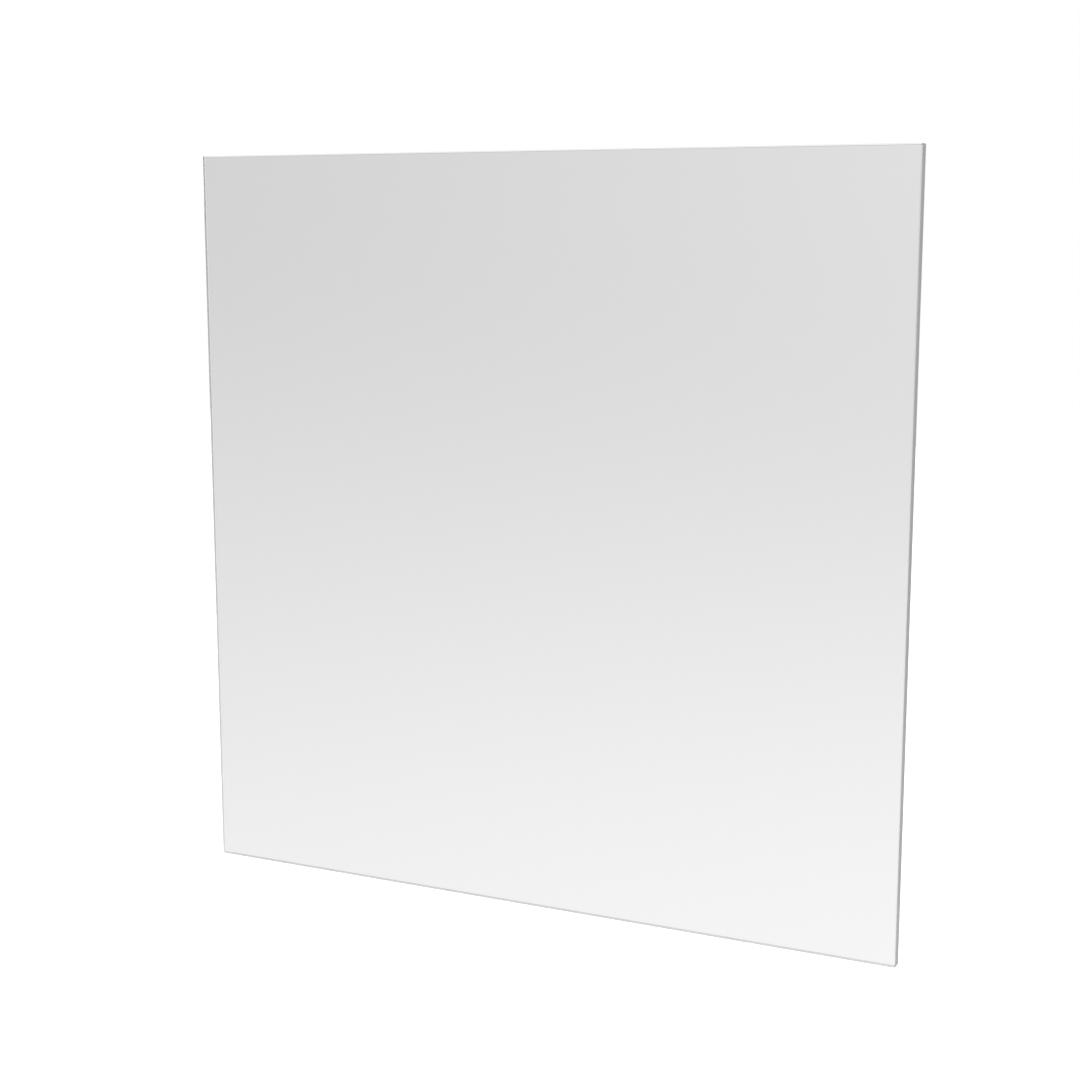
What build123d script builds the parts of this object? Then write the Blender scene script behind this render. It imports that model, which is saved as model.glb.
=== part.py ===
from build123d import *
import math
import os

# Flat square traffic mirror on a pan-and-tilt pole bracket. Millimetres.
# +Z is up along the pole, the mirror faces -Y, +X is to the right of a person who looks at the mirror.
# The origin is the centre of the pole clamp's bore.

# Mirror panel, from front to back
panel_width = 600.0
panel_height = 600.0
pane_thickness = 3.0
pane_arris = 0.8
coating_thickness = 0.1
tape_thickness = 0.9
skin_thickness = 0.5
core_thickness = 5.0

# Foam tape between the pane and the backing
seal_width = 12.0
seal_inset = 0.5
strip_width = 19.0
strip_count = 4
strip_end_gap = 20.0

# T-slot rails across the back
rail_length = 480.0
rail_width = 30.0
rail_depth = 14.0
rail_wall = 2.5
rail_corner = 1.0
slot_clearance = 0.5
rail_spacing = 240.0
cap_flange = 2.0
cap_plug = 10.0
cap_wall = 2.0
cap_fit = 0.15

# Countersunk M5 screws that hold the rails
rail_screw_count = 4
rail_screw_end = 45.0
rail_screw_diameter = 5.0
rail_screw_head = 10.0
rail_screw_socket = 3.0
rail_screw_socket_depth = 2.0
rail_screw_stickout = 1.5
rail_nut_across = 8.0
rail_nut_height = 5.0
rail_nut_flange = 11.0
rail_nut_flange_height = 1.2

# Hammer-head M8 bolts that hold the tilt bracket on the rails
channel_bolt_diameter = 8.0
channel_bolt_spacing = 36.0
hammer_head_height = 4.0
hammer_head_corner = 2.0
hammer_head_clearance = 2.5
channel_washer_diameter = 16.0
channel_washer_height = 1.6
channel_nut_across = 13.0
channel_nut_height = 6.5

# Tilt bracket, folded from plate
bracket_thickness = 4.0
bend_radius = 3.0
spine_overhang = 24.0
spine_corner = 8.0
cheek_end_radius = 16.0
cheek_root_half = 28.0
relief_width = 3.0
relief_margin = 2.0
plate_room = 14.0

# Swivel knuckle
barrel_radius = 15.0
pan_barrel_height = 26.0
tilt_barrel_length = 50.0
web_width = 22.0
web_height = 20.0
web_fillet = 2.0
barrel_chamfer = 0.8
barrel_gap = 3.0
friction_washer_thickness = 1.0
friction_washer_diameter = 28.0
swivel_play = 0.1
bolt_running_gap = 0.06

# M12 pivot bolts
pivot_diameter = 12.0
pivot_head_across = 18.0
pivot_head_height = 7.5
pivot_washer_diameter = 24.0
pivot_washer_height = 2.5
pivot_nut_hex = 8.5
pivot_nut_height = 12.0
pivot_collar_inset = 1.2
pivot_collar_round = 1.8
bolt_stickout = 3.0
bolt_tip_chamfer = 1.0
screw_tip_chamfer = 0.5
turned_share = 0.95
turned_angle = 30.0

# Pole clamp
pole_radius = 30.15
liner_thickness = 1.5
liner_edge_gap = 1.5
saddle_wall = 5.0
strap_wall = 4.0
ear_gap = 6.0
ear_fillet = 3.0
ear_margin = 12.0
ear_corner = 9.0
lug_thickness = 6.0
lug_end_radius = 16.0
lug_root_half = 22.0
lug_edge_margin = 1.9
swivel_room = 9.0

# M10 cup-head bolts of the clamp, long enough for a thicker pole
clamp_bolt_diameter = 10.0
clamp_head_diameter = 20.0
clamp_head_height = 5.0
clamp_washer_diameter = 20.0
clamp_washer_height = 2.0
clamp_nut_across = 16.0
clamp_nut_height = 8.4
strap_travel = 16.0

# Clearances
hole_clearance = 0.5
thread_gap = 0.05
seat_clearance = 0.1

# Sizes and places that follow from the ones above
rail_slot = channel_bolt_diameter + 2 * slot_clearance
rail_inner_width = rail_width - 2 * rail_wall
rail_inner_depth = rail_depth - 2 * rail_wall
hammer_head_length = rail_inner_width - 2 * hammer_head_clearance
relief_depth = bend_radius + bracket_thickness + relief_margin
saddle_inner = pole_radius + liner_thickness
saddle_outer = saddle_inner + saddle_wall
strap_outer = saddle_inner + strap_wall
clamp_bolt_x = saddle_outer + ear_fillet + clamp_head_diameter / 2 + seat_clearance
ear_half_width = clamp_bolt_x + ear_margin
lug_inner_z = pan_barrel_height / 2 + friction_washer_thickness + swivel_play
lug_outer_z = lug_inner_z + lug_thickness
clamp_height = 2 * (lug_outer_z + lug_edge_margin)
cheek_inner_x = tilt_barrel_length / 2 + friction_washer_thickness + swivel_play
cheek_outer_x = cheek_inner_x + bracket_thickness
pan_y = -(saddle_outer + swivel_room + lug_end_radius)
tilt_y = pan_y - (lug_end_radius + barrel_gap + barrel_radius)
plate_rear_y = tilt_y - barrel_radius - plate_room
plate_front_y = plate_rear_y - bracket_thickness
panel_rear_y = plate_front_y - rail_depth
core_rear_y = panel_rear_y - skin_thickness
core_front_y = core_rear_y - core_thickness
backing_front_y = core_front_y - skin_thickness
tape_front_y = backing_front_y - tape_thickness
coating_front_y = tape_front_y - coating_thickness
pane_front_y = coating_front_y - pane_thickness
rail_floor_y = panel_rear_y + rail_wall
rail_lip_y = plate_front_y - rail_wall
spine_half_height = rail_spacing / 2 + spine_overhang


def slab(front_y, thickness, width=panel_width, height=panel_height):
    """A sheet parallel to the mirror, from front_y backwards."""
    return Pos(0, front_y + thickness / 2, 0) * Box(width, thickness, height)


def cylinder_y(radius, start_y, end_y, x=0.0, z=0.0):
    """A round bar along Y between two Y values."""
    middle = (start_y + end_y) / 2
    return Pos(x, middle, z) * Rot(90, 0, 0) * Cylinder(radius, abs(end_y - start_y))


def cylinder_x(radius, length, y, z=0.0):
    """A round bar along X, centred on the plane x = 0."""
    return Pos(0, y, z) * Rot(0, 90, 0) * Cylinder(radius, length)


def rail_screw_places():
    """X and Z of every rail screw."""
    half = rail_length / 2 - rail_screw_end
    step = 2 * half / (rail_screw_count - 1)
    return [(-half + i * step, side * rail_spacing / 2) for side in (1, -1)
            for i in range(rail_screw_count)]


def channel_bolt_places():
    """X and Z of every bolt that joins the tilt bracket to a rail."""
    half = channel_bolt_spacing / 2
    return [(x, side * rail_spacing / 2) for side in (1, -1) for x in (-half, half)]


def standing_cylinder(radius, height):
    """A round bar that stands on the XY plane."""
    return Cylinder(radius, height, align=(Align.CENTER, Align.CENTER, Align.MIN))


def hexagon(across, height):
    """A hexagonal prism on the XY plane with its top corners turned off."""
    circumradius = across / math.sqrt(3)
    prism = extrude(RegularPolygon(circumradius, 6), height)
    cut_in = circumradius - turned_share * across / 2
    cut_down = cut_in * math.tan(math.radians(turned_angle))
    turned = standing_cylinder(circumradius, height)
    return prism & chamfer(turned.edges().group_by(Axis.Z)[-1], cut_down, cut_in)


def washer(outer_diameter, inner_diameter, height):
    """A flat washer on the XY plane."""
    ring = Circle(outer_diameter / 2) - Circle(inner_diameter / 2)
    return extrude(ring, height)


def plain_nut(across, bore_diameter, height):
    """A hexagon nut on the XY plane, its chamfered face up."""
    bore = Cylinder(bore_diameter / 2 + thread_gap, 3 * height)
    return hexagon(across, height) - bore


def lock_nut():
    """A pivot bolt's nut with a nylon insert in the collar above its hexagon."""
    collar = standing_cylinder(pivot_head_across / 2 - pivot_collar_inset, pivot_nut_height)
    collar = fillet(collar.edges().group_by(Axis.Z)[-1], pivot_collar_round)
    bore = Cylinder(pivot_diameter / 2 + thread_gap, 3 * pivot_nut_height)
    return hexagon(pivot_head_across, pivot_nut_hex) + collar - bore


def hexagon_bolt(grip):
    """A pivot bolt with its head above the XY plane and its shank below it."""
    length = grip + pivot_nut_height + bolt_stickout
    shank = Pos(0, 0, -length) * standing_cylinder(pivot_diameter / 2, length)
    shank = chamfer(shank.edges().group_by(Axis.Z)[0], bolt_tip_chamfer)
    return hexagon(pivot_head_across, pivot_head_height) + shank


def mirror_pane():
    pane = slab(pane_front_y, pane_thickness)
    front = pane.faces().sort_by(Axis.Y)[0]
    return chamfer(front.edges(), pane_arris)


def reflective_coating():
    return slab(coating_front_y, coating_thickness)


def perimeter_seal_tape():
    outer_x = panel_width - 2 * seal_inset
    outer_z = panel_height - 2 * seal_inset
    ring = slab(tape_front_y, tape_thickness, outer_x, outer_z)
    return ring - slab(tape_front_y - 1, tape_thickness + 2,
                       outer_x - 2 * seal_width, outer_z - 2 * seal_width)


def bond_tape_strips():
    pitch = panel_width / (strip_count + 1)
    length = panel_height - 2 * (seal_inset + seal_width + strip_end_gap)
    strip = slab(tape_front_y, tape_thickness, strip_width, length)
    return [Pos(-panel_width / 2 + (i + 1) * pitch, 0, 0) * strip for i in range(strip_count)]


def screw_head_cone(start_y, extra):
    """The 90 degree cone of a countersunk head, its wide end forward at start_y."""
    wide = rail_screw_head / 2 + extra
    narrow = rail_screw_diameter / 2 + extra
    cone = Cone(wide, narrow, wide - narrow, align=(Align.CENTER, Align.CENTER, Align.MIN))
    return Pos(0, start_y, 0) * Rot(-90, 0, 0) * cone


def drill_backing(sheet):
    """The screw holes and countersinks of one layer of the backing."""
    hole = cylinder_y(rail_screw_diameter / 2 + hole_clearance / 2,
                      backing_front_y - 1, panel_rear_y + 1)
    tool = hole + screw_head_cone(backing_front_y, seat_clearance)
    for x, z in rail_screw_places():
        sheet -= Pos(x, 0, z) * tool
    return sheet


def panel_front_skin():
    return drill_backing(slab(backing_front_y, skin_thickness))


def panel_core():
    return drill_backing(slab(core_front_y, core_thickness))


def panel_rear_skin():
    return drill_backing(slab(core_rear_y, skin_thickness))


def rail(z):
    """A C-shaped extrusion with its slot towards +Y."""
    section = Rectangle(rail_depth, rail_width)
    section -= Rectangle(rail_inner_depth, rail_inner_width)
    section -= Pos(rail_depth / 2, 0) * Rectangle(2 * rail_wall, rail_slot)
    corners = [v for v in section.vertices() if abs(v.Y) > rail_inner_width / 2 + rail_wall / 2]
    section = fillet(corners, rail_corner)
    # The section's own X axis becomes Y, its Y axis becomes Z, and it is extruded along X.
    plane = Plane(origin=(-rail_length / 2, panel_rear_y + rail_depth / 2, z),
                  x_dir=(0, 1, 0), z_dir=(1, 0, 0))
    bar = extrude(plane * section, rail_length)
    hole = cylinder_y(rail_screw_diameter / 2 + hole_clearance / 2,
                      panel_rear_y - 1, rail_floor_y + 1)
    for x, screw_z in rail_screw_places():
        if screw_z == z:
            bar -= Pos(x, 0, screw_z) * hole
    return bar


def rail_end_caps():
    """A moulded plug for each rail end: a thin flange and a hollow-backed tongue."""
    flange = Box(cap_flange, rail_depth, rail_width)
    flange = fillet(flange.edges().filter_by(Axis.X), rail_corner)
    tongue_depth = rail_inner_depth - 2 * cap_fit
    tongue_width = rail_inner_width - 2 * cap_fit
    tongue = Box(cap_plug, tongue_depth, tongue_width)
    tongue -= Pos(-cap_wall, 0, 0) * Box(
        cap_plug, tongue_depth - 2 * cap_wall, tongue_width - 2 * cap_wall)
    cap = Pos(cap_flange / 2, 0, 0) * flange + Pos(-cap_plug / 2, 0, 0) * tongue
    middle_y = panel_rear_y + rail_depth / 2
    caps = []
    for z in (rail_spacing / 2, -rail_spacing / 2):
        caps.append(Pos(rail_length / 2, middle_y, z) * cap)
        caps.append(Pos(-rail_length / 2, middle_y, z) * Rot(0, 0, 180) * cap)
    return caps


def rail_screws():
    tip_y = rail_floor_y + rail_nut_height + rail_screw_stickout
    shank = cylinder_y(rail_screw_diameter / 2, backing_front_y, tip_y)
    shank = chamfer(shank.edges().group_by(Axis.Y)[-1], screw_tip_chamfer)
    screw = shank + screw_head_cone(backing_front_y, 0)
    socket = Pos(0, backing_front_y, 0) * Rot(-90, 0, 0) * extrude(
        RegularPolygon(rail_screw_socket / math.sqrt(3), 6), rail_screw_socket_depth)
    screw -= socket
    return [Pos(x, 0, z) * screw for x, z in rail_screw_places()]


def rail_nuts():
    nut = plain_nut(rail_nut_across, rail_screw_diameter, rail_nut_height)
    nut += washer(rail_nut_flange, rail_screw_diameter + 2 * thread_gap, rail_nut_flange_height)
    nut = Pos(0, rail_floor_y, 0) * Rot(-90, 0, 0) * nut
    return [Pos(x, 0, z) * nut for x, z in rail_screw_places()]


def cheek_outline():
    """The side view of a cheek, in Y and Z, round about the tilt axis."""
    end = Pos(tilt_y, 0) * Circle(cheek_end_radius)
    root_y = plate_rear_y + bend_radius
    root = Pos((root_y + plate_front_y) / 2, 0) * Rectangle(
        root_y - plate_front_y, 2 * cheek_root_half)
    return make_hull((end + root).edges())


def tilt_bracket():
    """A flat spine across both rails, with two cheeks folded back from its middle."""
    depth = tilt_y + cheek_end_radius - plate_front_y
    outer = Pos(0, plate_front_y + depth / 2) * Rectangle(2 * cheek_outer_x, depth)
    outer = fillet(outer.vertices().group_by(Axis.Y)[0], bend_radius + bracket_thickness)
    inner = Pos(0, plate_rear_y + depth / 2) * Rectangle(2 * cheek_inner_x, depth)
    inner = fillet(inner.vertices().group_by(Axis.Y)[0], bend_radius)
    fold = extrude(outer - inner, cheek_root_half, both=True)
    side = extrude(Plane.YZ * cheek_outline(), 2 * cheek_outer_x, both=True)
    fold &= side
    spine = Pos(0, plate_rear_y, 0) * Rot(90, 0, 0) * extrude(
        RectangleRounded(2 * cheek_outer_x, 2 * spine_half_height, spine_corner), bracket_thickness)
    gap = Box(2 * cheek_outer_x, 3 * bracket_thickness, 2 * cheek_root_half)
    bracket = spine - Pos(0, plate_rear_y, 0) * gap + fold
    relief = Box(relief_depth, 3 * bracket_thickness, relief_width)
    for side_x in (1, -1):
        for side_z in (1, -1):
            bracket -= Pos(side_x * (cheek_outer_x - relief_depth / 2), plate_rear_y,
                           side_z * (cheek_root_half + relief_width / 2)) * relief
    bracket -= cylinder_x((pivot_diameter + hole_clearance) / 2, 3 * cheek_outer_x, tilt_y)
    for x, z in channel_bolt_places():
        bracket -= cylinder_y(channel_bolt_diameter / 2 + hole_clearance,
                              plate_front_y - 1, plate_rear_y + 1, x, z)
    return bracket


def channel_bolts():
    head = Pos(0, rail_lip_y - hammer_head_height / 2, 0) * Box(
        channel_bolt_diameter, hammer_head_height, hammer_head_length)
    head = fillet(head.edges().filter_by(Axis.Y), hammer_head_corner)
    tip_y = plate_rear_y + channel_washer_height + channel_nut_height + bolt_stickout
    shank = cylinder_y(channel_bolt_diameter / 2, rail_lip_y, tip_y)
    shank = chamfer(shank.edges().group_by(Axis.Y)[-1], bolt_tip_chamfer)
    return [Pos(x, 0, z) * (head + shank) for x, z in channel_bolt_places()]


def channel_bolt_washers():
    ring = washer(channel_washer_diameter, channel_bolt_diameter + hole_clearance,
                  channel_washer_height)
    ring = Pos(0, plate_rear_y, 0) * Rot(-90, 0, 0) * ring
    return [Pos(x, 0, z) * ring for x, z in channel_bolt_places()]


def channel_bolt_nuts():
    nut = plain_nut(channel_nut_across, channel_bolt_diameter, channel_nut_height)
    nut = Pos(0, plate_rear_y + channel_washer_height, 0) * Rot(-90, 0, 0) * nut
    return [Pos(x, 0, z) * nut for x, z in channel_bolt_places()]


def tilt_place(x, flip=False):
    """The place of a piece drawn on the XY plane that lies on the tilt axis, facing +X or -X."""
    return Pos(x, tilt_y, 0) * Rot(0, -90 if flip else 90, 0)


def pan_place(z, flip=False):
    """The place of a piece drawn on the XY plane that lies on the pan axis, facing +Z or -Z."""
    return Pos(0, pan_y, z) * Rot(180 if flip else 0, 0, 0)


def tilt_bolt():
    grip = 2 * (cheek_outer_x + pivot_washer_height)
    return tilt_place(-cheek_outer_x - pivot_washer_height, flip=True) * hexagon_bolt(grip)


def pivot_washer():
    return washer(pivot_washer_diameter, pivot_diameter + hole_clearance, pivot_washer_height)


def tilt_bolt_washers():
    return [tilt_place(cheek_outer_x) * pivot_washer(),
            tilt_place(-cheek_outer_x, flip=True) * pivot_washer()]


def tilt_lock_nut():
    return tilt_place(cheek_outer_x + pivot_washer_height) * lock_nut()


def swivel_knuckle():
    """A casting: a vertical barrel and a horizontal one, joined by a web."""
    pan_barrel = Pos(0, pan_y, 0) * Cylinder(barrel_radius, pan_barrel_height)
    tilt_barrel = cylinder_x(barrel_radius, tilt_barrel_length, tilt_y)
    web = Pos(0, (pan_y + tilt_y) / 2, 0) * Box(web_width, pan_y - tilt_y, web_height)
    body = pan_barrel + tilt_barrel + web
    web_edges = [e for e in body.edges()
                 if tilt_y + 1 < e.center().Y < pan_y - 1 and abs(e.center().X) < barrel_radius]
    body = fillet(web_edges, web_fillet)
    barrel_ends = [e for e in body.edges().filter_by(GeomType.CIRCLE)
                   if abs(e.radius - barrel_radius) < 0.01 and e.length > 6 * barrel_radius]
    body = chamfer(barrel_ends, barrel_chamfer)
    body -= Pos(0, pan_y, 0) * Cylinder(
        pivot_diameter / 2 + bolt_running_gap, 2 * pan_barrel_height)
    body -= cylinder_x(pivot_diameter / 2 + bolt_running_gap, 2 * tilt_barrel_length, tilt_y)
    return body


def friction_washer():
    return washer(friction_washer_diameter, pivot_diameter + 2 * hole_clearance,
                  friction_washer_thickness)


def tilt_friction_washers():
    face = tilt_barrel_length / 2
    return [tilt_place(face) * friction_washer(), tilt_place(-face, flip=True) * friction_washer()]


def pan_friction_washers():
    face = pan_barrel_height / 2
    return [pan_place(face) * friction_washer(), pan_place(-face, flip=True) * friction_washer()]


def clamp_half(wall, square_holes):
    """Half of the clamp, drawn on the +Y side: a half ring with an ear at each end."""
    ring = Circle(saddle_inner + wall)
    ears = Pos(0, ear_gap / 2 + wall / 2) * Rectangle(2 * ear_half_width, wall)
    above = Pos(0, ear_gap / 2 + saddle_inner) * Rectangle(4 * saddle_inner, 2 * saddle_inner)
    profile = (ring + ears) & above
    corner_y = ear_gap / 2 + wall
    corners = [v for v in profile.vertices()
               if abs(v.Y - corner_y) < 0.01 and abs(v.X) < saddle_inner + wall + 0.01]
    profile = fillet(corners, ear_fillet) - Circle(saddle_inner)
    half = extrude(profile, clamp_height / 2, both=True)
    outline = Rot(90, 0, 0) * extrude(
        RectangleRounded(2 * ear_half_width, clamp_height, ear_corner), 3 * saddle_inner, both=True)
    half &= outline
    for x in (clamp_bolt_x, -clamp_bolt_x):
        middle = Pos(x, ear_gap / 2 + wall / 2, 0)
        if square_holes:
            side = clamp_bolt_diameter + 2 * seat_clearance
            half -= middle * Box(side, 2 * wall, side)
        else:
            half -= middle * Rot(90, 0, 0) * Cylinder(
                clamp_bolt_diameter / 2 + hole_clearance, 2 * wall)
    return half


def liner():
    """The rubber strip of one clamp half, on the +Y side."""
    ring = Circle(saddle_inner) - Circle(pole_radius)
    start_y = ear_gap / 2 + liner_edge_gap
    kept = Pos(0, start_y + saddle_inner) * Rectangle(4 * saddle_inner, 2 * saddle_inner)
    return extrude(ring & kept, clamp_height / 2, both=True)


def clamp_saddle():
    return Rot(0, 0, 180) * clamp_half(saddle_wall, square_holes=True)


def saddle_liner():
    return Rot(0, 0, 180) * liner()


def clamp_strap():
    return clamp_half(strap_wall, square_holes=False)


def strap_liner():
    return liner()


def lug(side):
    """A plate welded to the saddle, with the pan bolt's hole: side is 1 above and -1 below."""
    end = Pos(0, pan_y) * Circle(lug_end_radius)
    root_y = -math.sqrt(saddle_outer ** 2 - lug_root_half ** 2)
    root = Pos(0, root_y) * Rectangle(2 * lug_root_half, 1.0)
    outline = make_hull((end + root).edges()) - Circle(saddle_outer)
    outline -= Pos(0, pan_y) * Circle(pivot_diameter / 2 + hole_clearance / 2)
    plate = extrude(outline, lug_thickness)
    return Pos(0, 0, lug_inner_z if side > 0 else -lug_outer_z) * plate


def clamp_bolts():
    """Cup-head bolts whose square necks sit in the saddle's ears."""
    seat_y = -(ear_gap / 2 + saddle_wall)
    tip_y = (ear_gap / 2 + strap_wall + clamp_washer_height + clamp_nut_height
             + strap_travel + bolt_stickout)
    shank = cylinder_y(clamp_bolt_diameter / 2, seat_y, tip_y)
    shank = chamfer(shank.edges().group_by(Axis.Y)[-1], bolt_tip_chamfer)
    neck_height = saddle_wall - hole_clearance
    neck = Pos(0, seat_y + neck_height / 2, 0) * Box(
        clamp_bolt_diameter, neck_height, clamp_bolt_diameter)
    half = clamp_head_diameter / 2
    cup_radius = (half ** 2 + clamp_head_height ** 2) / (2 * clamp_head_height)
    ball = Pos(0, seat_y - clamp_head_height + cup_radius, 0) * Sphere(cup_radius)
    keep = Pos(0, seat_y - clamp_head_height / 2, 0) * Box(
        2 * clamp_head_diameter, clamp_head_height, 2 * clamp_head_diameter)
    bolt = (ball & keep) + shank + neck
    return [Pos(x, 0, 0) * bolt for x in (clamp_bolt_x, -clamp_bolt_x)]


def clamp_washers():
    ring = washer(clamp_washer_diameter, clamp_bolt_diameter + 2 * hole_clearance,
                  clamp_washer_height)
    ring = Pos(0, ear_gap / 2 + strap_wall, 0) * Rot(-90, 0, 0) * ring
    return [Pos(x, 0, 0) * ring for x in (clamp_bolt_x, -clamp_bolt_x)]


def clamp_nuts():
    nut = plain_nut(clamp_nut_across, clamp_bolt_diameter, clamp_nut_height)
    nut = Pos(0, ear_gap / 2 + strap_wall + clamp_washer_height, 0) * Rot(-90, 0, 0) * nut
    return [Pos(x, 0, 0) * nut for x in (clamp_bolt_x, -clamp_bolt_x)]


def pan_bolt():
    grip = 2 * (lug_outer_z + pivot_washer_height)
    return pan_place(lug_outer_z + pivot_washer_height) * hexagon_bolt(grip)


def pan_bolt_washers():
    return [pan_place(lug_outer_z) * pivot_washer(),
            pan_place(-lug_outer_z, flip=True) * pivot_washer()]


def pan_lock_nut():
    return pan_place(-lug_outer_z - pivot_washer_height, flip=True) * lock_nut()


nodes = {
    "mirror_pane": mirror_pane(),
    "reflective_coating": reflective_coating(),
    "perimeter_seal_tape": perimeter_seal_tape(),
    "bond_tape_strips": bond_tape_strips(),
    "panel_front_skin": panel_front_skin(),
    "panel_core": panel_core(),
    "panel_rear_skin": panel_rear_skin(),
    "upper_rail": rail(rail_spacing / 2),
    "lower_rail": rail(-rail_spacing / 2),
    "rail_end_caps": rail_end_caps(),
    "rail_screws": rail_screws(),
    "rail_nuts": rail_nuts(),
    "tilt_bracket": tilt_bracket(),
    "channel_bolts": channel_bolts(),
    "channel_bolt_washers": channel_bolt_washers(),
    "channel_bolt_nuts": channel_bolt_nuts(),
    "tilt_bolt": tilt_bolt(),
    "tilt_bolt_washers": tilt_bolt_washers(),
    "tilt_lock_nut": tilt_lock_nut(),
    "swivel_knuckle": swivel_knuckle(),
    "tilt_friction_washers": tilt_friction_washers(),
    "pan_friction_washers": pan_friction_washers(),
    "clamp_saddle": clamp_saddle(),
    "upper_lug": lug(1),
    "lower_lug": lug(-1),
    "saddle_liner": saddle_liner(),
    "clamp_bolts": clamp_bolts(),
    "pan_bolt": pan_bolt(),
    "pan_bolt_washers": pan_bolt_washers(),
    "pan_lock_nut": pan_lock_nut(),
    "clamp_strap": clamp_strap(),
    "strap_liner": strap_liner(),
    "clamp_washers": clamp_washers(),
    "clamp_nuts": clamp_nuts(),
}

os.makedirs("parts", exist_ok=True)
for name, shape in nodes.items():
    if isinstance(shape, list):
        shape = Compound(children=shape)
    export_step(shape, f"parts/{name}.step")
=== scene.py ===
import math

import bmesh
import bpy
import numpy as np
from bpy.props import FloatProperty, FloatVectorProperty, PointerProperty, StringProperty
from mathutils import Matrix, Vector


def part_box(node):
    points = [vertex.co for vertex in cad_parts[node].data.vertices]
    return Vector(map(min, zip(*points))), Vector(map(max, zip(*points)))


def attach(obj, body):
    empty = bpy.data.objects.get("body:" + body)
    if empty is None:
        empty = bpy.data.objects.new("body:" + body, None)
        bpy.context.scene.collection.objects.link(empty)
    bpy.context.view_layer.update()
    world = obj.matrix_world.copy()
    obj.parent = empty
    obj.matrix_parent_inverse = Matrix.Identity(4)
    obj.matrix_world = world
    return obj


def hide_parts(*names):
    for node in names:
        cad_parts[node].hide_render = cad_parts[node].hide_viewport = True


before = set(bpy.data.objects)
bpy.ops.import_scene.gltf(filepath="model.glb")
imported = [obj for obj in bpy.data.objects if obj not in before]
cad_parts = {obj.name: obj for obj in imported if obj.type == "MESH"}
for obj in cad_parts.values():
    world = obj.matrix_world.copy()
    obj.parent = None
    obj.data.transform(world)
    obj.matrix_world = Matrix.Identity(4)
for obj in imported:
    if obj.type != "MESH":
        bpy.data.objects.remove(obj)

bl_info = {
    "name": "Flat traffic mirror on a pole bracket",
    "version": (1, 0, 0),
    "blender": (4, 5, 0),
    "location": "View3D > Sidebar > Traffic mirror",
    "description": "Finishes a flat square traffic mirror and its bracket, and sets up a studio",
    "category": "Object",
}

MM = 0.001
TAU = 2 * math.pi
QUARTER = math.pi / 2
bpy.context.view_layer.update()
PANE_LOW, PANE_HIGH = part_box("mirror_pane")
ARRIS = 0.8 * MM                  # width of the sheet's scraped front arris
COLUMNS = 72                      # points round a turned piece, a multiple of 12 for hexagons
ANGLES = np.arange(COLUMNS) * TAU / COLUMNS
THREAD_DEPTH = 0.6                # of the pitch, crest to root
THREAD_WAVE = (1.3, 0.15)         # stretches and lowers a thread's wave, to flatten its ends
TURNED_SHARE = 0.95               # of a hexagon's half width: where its turned corners begin
TURNED_SLOPE = math.tan(math.radians(30))
SHY = 0.02                        # mm by which a shank stays inside its nominal size
BORE_GAP = 0.05                   # mm between a bolt's shank and the bore of its nut

# Finishes that several pieces share, and the slots that go with them.
PLATE, STEEL, CASTING = "hot_dip_galvanised_plate", "galvanised_steel", "hot_dip_galvanised_casting"
STAINLESS = ("tumbled_stainless_steel", "stainless_steel")
ZINC = ("blue_passivated_zinc_plate", "zinc_plated_steel")
ACETAL = ("turned_acetal", "acetal")
EXTRUSION = ("anodised_aluminium_extrusion", "anodised_aluminium")


# -------------------- shapes
# A shape is three arrays: its points, its four-sided faces and its three-sided faces. A turned
# piece is drawn in millimetres, and placed() makes that metres.

def closed_surface(grid, loop=False):
    """A closed shape from a grid of points, rows by columns. The columns always run round and meet.
    The rows meet too if loop is true; otherwise the first and the last row each close on their
    middle. The signed volume, a sixth of the sum of a . (b x c) over the triangles, tells whether
    the faces point outwards."""
    rows, columns = grid.shape[:2]
    number = np.arange(rows * columns).reshape(rows, columns)
    here = number if loop else number[:-1]
    there = np.roll(number, -1, 0) if loop else number[1:]
    quads = np.stack([here, np.roll(here, -1, 1), np.roll(there, -1, 1), there], -1).reshape(-1, 4)
    points = grid.reshape(-1, 3)
    fans = np.empty((0, 3), int)
    if not loop:
        points = np.concatenate([points, grid[:1].mean(1), grid[-1:].mean(1)])
        start, end = np.full(columns, rows * columns), np.full(columns, rows * columns + 1)
        fans = np.concatenate([
            np.stack([start, np.roll(number[0], -1), number[0]], -1),
            np.stack([end, number[-1], np.roll(number[-1], -1)], -1)])
    corners = points[np.concatenate([quads[:, :3], quads[:, [0, 2, 3]], fans])]
    if np.einsum("ij,ij->", corners[:, 0], np.cross(corners[:, 1], corners[:, 2])) < 0:
        quads, fans = quads[:, ::-1], fans[:, ::-1]
    return points, quads, fans


def joined(shapes):
    """Several shapes as one: each shape's faces count on from the points before it."""
    points, *faces = zip(*shapes)
    starts = np.cumsum([0] + [len(p) for p in points[:-1]])
    return (np.concatenate(points),
            *(np.concatenate([f + n for f, n in zip(kind, starts)]) for kind in faces))


def placed(shape, direction, origin):
    """A shape drawn in millimetres round its own Z axis, turned so that this axis looks along the
    direction, and moved to the origin in metres. Its own X axis stays on X, or goes to Z where the
    direction is X."""
    z = np.array(direction, float)
    x = np.array((0.0, 0.0, 1.0) if abs(z[0]) > 0.5 else (1.0, 0.0, 0.0))
    turn = np.stack([x, np.cross(z, x), z])
    return shape[0] @ turn * MM + np.array(origin, float), shape[1], shape[2]


def copies(shape, direction, origins):
    """The same shape placed at each of the origins, as one shape."""
    return joined([placed(shape, direction, origin) for origin in origins])


def around(radius, heights, angle=ANGLES):
    """A grid of points round Z: x is the radius times the cosine of the angle, y times its sine."""
    return np.stack(np.broadcast_arrays(
        radius * np.cos(angle), radius * np.sin(angle), heights), -1)


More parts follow.
